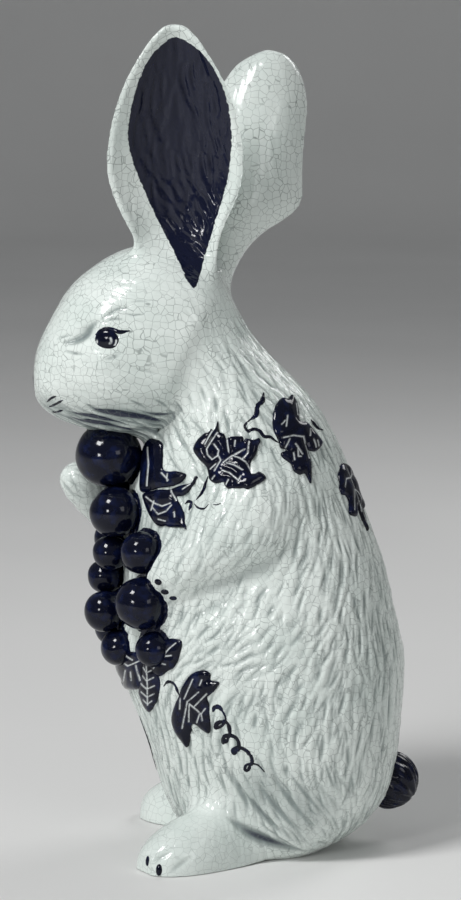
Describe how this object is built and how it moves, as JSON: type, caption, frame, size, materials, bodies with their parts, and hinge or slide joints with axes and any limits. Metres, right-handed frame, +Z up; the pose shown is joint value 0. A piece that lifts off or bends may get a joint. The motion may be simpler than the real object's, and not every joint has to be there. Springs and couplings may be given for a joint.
{
  "type": "ceramic rabbit figurine",
  "caption": "Hollow glazed earthenware rabbit sitting upright with raised ears, holding a bunch of grapes with vine leaves, standing on its own flat base.",
  "frame": {"origin": "on the flat base under the figure, on its middle plane, a little ahead of the pour hole", "axes": "+Z up from the base to the ears, -Y the way the figure faces, +X to the figure's own left"},
  "size_m": [0.1257, 0.1872, 0.3958],
  "materials": {
    "white_crackle_glaze": "gloss",
    "cobalt_glaze": "gloss"
  },
  "bodies": {
    "root": {"torso_shell": "white_crackle_glaze", "head_shell": "white_crackle_glaze", "left_ear": "white_crackle_glaze", "right_ear": "white_crackle_glaze", "left_foreleg": "white_crackle_glaze", "right_foreleg": "white_crackle_glaze", "left_hind_foot": "white_crackle_glaze", "right_hind_foot": "white_crackle_glaze", "tail": "cobalt_glaze", "left_chest_leaf": "cobalt_glaze", "left_shoulder_leaf": "cobalt_glaze", "left_back_leaf": "cobalt_glaze", "nape_leaf": "cobalt_glaze", "left_flank_leaf": "cobalt_glaze", "bunch_leaf_top": "cobalt_glaze", "bunch_leaf_front": "cobalt_glaze", "bunch_leaf_middle": "cobalt_glaze", "bunch_leaf_left": "cobalt_glaze", "bunch_leaf_right": "cobalt_glaze", "right_chest_leaf": "cobalt_glaze", "right_shoulder_leaf": "cobalt_glaze", "right_back_leaf": "cobalt_glaze", "right_flank_leaf": "cobalt_glaze", "grape_01": "cobalt_glaze", "grape_02": "cobalt_glaze", "grape_03": "cobalt_glaze", "grape_04": "cobalt_glaze", "grape_05": "cobalt_glaze", "grape_06": "cobalt_glaze", "grape_07": "cobalt_glaze", "grape_08": "cobalt_glaze", "grape_09": "cobalt_glaze", "grape_10": "cobalt_glaze", "grape_11": "cobalt_glaze", "grape_12": "cobalt_glaze", "grape_13": "cobalt_glaze", "grape_14": "cobalt_glaze", "grape_15": "cobalt_glaze", "grape_16": "cobalt_glaze"}
  },
  "joints": []
}
